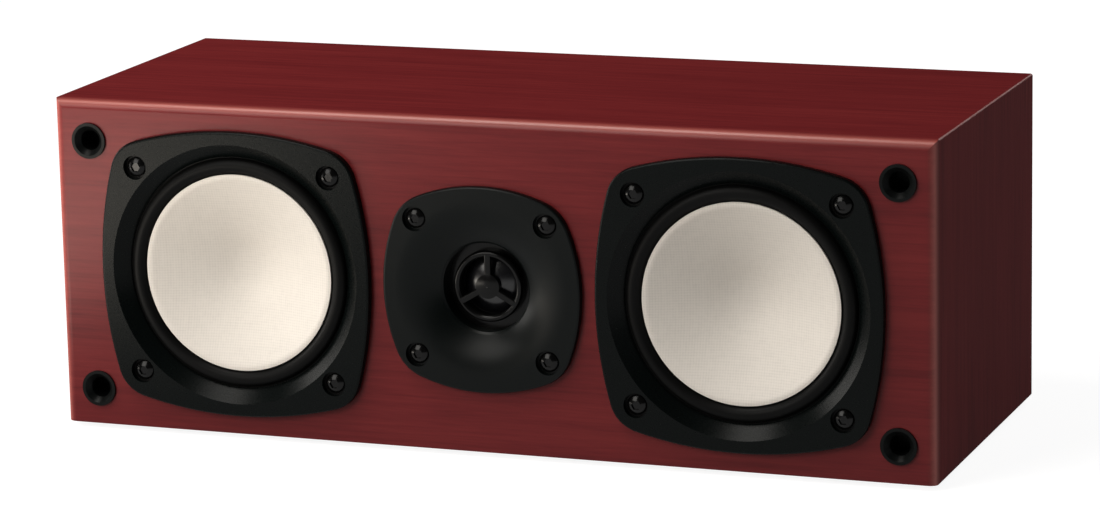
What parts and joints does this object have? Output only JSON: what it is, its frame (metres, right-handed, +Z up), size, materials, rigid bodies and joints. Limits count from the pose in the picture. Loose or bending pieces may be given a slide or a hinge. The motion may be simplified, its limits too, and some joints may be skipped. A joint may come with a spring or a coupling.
{
  "type": "center channel speaker",
  "caption": "Low wide wooden centre loudspeaker with woven-cone woofers in bowed-square black frames round a horn-faced dome tweeter, grille sockets, rear port and spring terminal.",
  "frame": {"origin": "middle of the bounding box on the surface that it stands on", "axes": "+X right seen from the front, +Y to the back, +Z up; the drivers face -Y"},
  "size_m": [0.315, 0.1315, 0.117],
  "materials": {
    "mahogany_veneer": "satin mahogany-coloured veneer",
    "back_board": "black-stained board",
    "foot_rubber": "matt",
    "socket_plastic": "moulded black",
    "frame_plastic": "fine satin black",
    "basket_paint": "black paint on pressed steel",
    "surround_rubber": "matt black",
    "cone_weave": "off-white woven fibre",
    "copper_winding": "enamelled copper wire",
    "spider_cloth": "resin-treated cloth",
    "plated_steel": "zinc plated",
    "ferrite": "bare ferrite",
    "can_steel": "plain drawn steel",
    "tag_board": "phenolic paper",
    "screw_steel": "black oxide",
    "horn_plastic": "fine satin black",
    "guard_plastic": "moulded black",
    "dome_film": "coated dark dome",
    "suspension_cloth": "coated cloth",
    "port_plastic": "moulded black",
    "cup_plastic": "moulded black",
    "lever_red": "moulded red",
    "lever_black": "moulded black",
    "contact_brass": "spring brass",
    "spacer_plastic": "white nylon",
    "board_laminate": "brown laminate",
    "capacitor_sleeve": "shrink sleeve",
    "wadding": "polyester wadding"
  },
  "bodies": {
    "cabinet": {"back_panel": "back_board", "black_terminal_contact": "contact_brass", "bottom_panel": "mahogany_veneer", "crossover_board": "board_laminate", "crossover_capacitors": "capacitor_sleeve", "crossover_inductor": "copper_winding", "crossover_spacers": "spacer_plastic", "damping_pad": "wadding", "foot_pads": "foot_rubber", "front_baffle": "mahogany_veneer", "left_panel": "mahogany_veneer", "left_woofer_basket": "basket_paint", "left_woofer_bucking_magnet": "ferrite", "left_woofer_magnet": "ferrite", "left_woofer_screws": "screw_steel", "left_woofer_shield_can": "can_steel", "left_woofer_spider": "spider_cloth", "left_woofer_surround": "surround_rubber", "left_woofer_tag_strip": "tag_board", "left_woofer_top_plate": "plated_steel", "left_woofer_trim_frame": "frame_plastic", "left_woofer_yoke": "plated_steel", "lower_left_grille_socket": "socket_plastic", "lower_right_grille_socket": "socket_plastic", "port_tube": "port_plastic", "red_terminal_contact": "contact_brass", "right_panel": "mahogany_veneer", "right_woofer_basket": "basket_paint", "right_woofer_bucking_magnet": "ferrite", "right_woofer_magnet": "ferrite", "right_woofer_screws": "screw_steel", "right_woofer_shield_can": "can_steel", "right_woofer_spider": "spider_cloth", "right_woofer_surround": "surround_rubber", "right_woofer_tag_strip": "tag_board", "right_woofer_top_plate": "plated_steel", "right_woofer_trim_frame": "frame_plastic", "right_woofer_yoke": "plated_steel", "terminal_cup": "cup_plastic", "terminal_screws": "screw_steel", "top_panel": "mahogany_veneer", "tweeter_magnet": "ferrite", "tweeter_phase_guard": "guard_plastic", "tweeter_plate": "horn_plastic", "tweeter_screws": "screw_steel", "tweeter_shield_can": "can_steel", "tweeter_suspension": "suspension_cloth", "tweeter_top_plate": "plated_steel", "tweeter_yoke": "plated_steel", "upper_left_grille_socket": "socket_plastic", "upper_right_grille_socket": "socket_plastic"},
    "left_cone": {"left_woofer_cone": "cone_weave", "left_woofer_voice_coil": "copper_winding"},
    "right_cone": {"right_woofer_cone": "cone_weave", "right_woofer_voice_coil": "copper_winding"},
    "dome": {"tweeter_dome": "dome_film", "tweeter_voice_coil": "copper_winding"},
    "red_lever": {"red_terminal_lever": "lever_red"},
    "black_lever": {"black_terminal_lever": "lever_black"}
  },
  "joints": [
    {"name": "left_cone_travel", "type": "slide", "parent": "cabinet", "child": "left_cone", "axis": [0, -1, 0], "range_m": [-0.0025, 0.0025], "stiffness_N_per_m": 900, "deforming": ["left_woofer_surround", "left_woofer_spider"]},
    {"name": "right_cone_travel", "type": "slide", "parent": "cabinet", "child": "right_cone", "axis": [0, -1, 0], "range_m": [-0.0025, 0.0025], "stiffness_N_per_m": 900, "deforming": ["right_woofer_surround", "right_woofer_spider"]},
    {"name": "dome_travel", "type": "slide", "parent": "cabinet", "child": "dome", "axis": [0, -1, 0], "range_m": [-0.0003, 0.0003], "stiffness_N_per_m": 60, "deforming": ["tweeter_suspension"]},
    {"name": "red_lever_press", "type": "hinge", "parent": "cabinet", "child": "red_lever", "pos_m": [0.0698, 0.05555, 0.0686], "axis": [-1, 0, 0], "range_deg": [0, 22], "stiffness_Nm_per_rad": 0.02, "springref_deg": -17.19},
    {"name": "black_lever_press", "type": "hinge", "parent": "cabinet", "child": "black_lever", "pos_m": [0.0902, 0.05555, 0.0686], "axis": [-1, 0, 0], "range_deg": [0, 22], "stiffness_Nm_per_rad": 0.02, "springref_deg": -17.19}
  ]
}
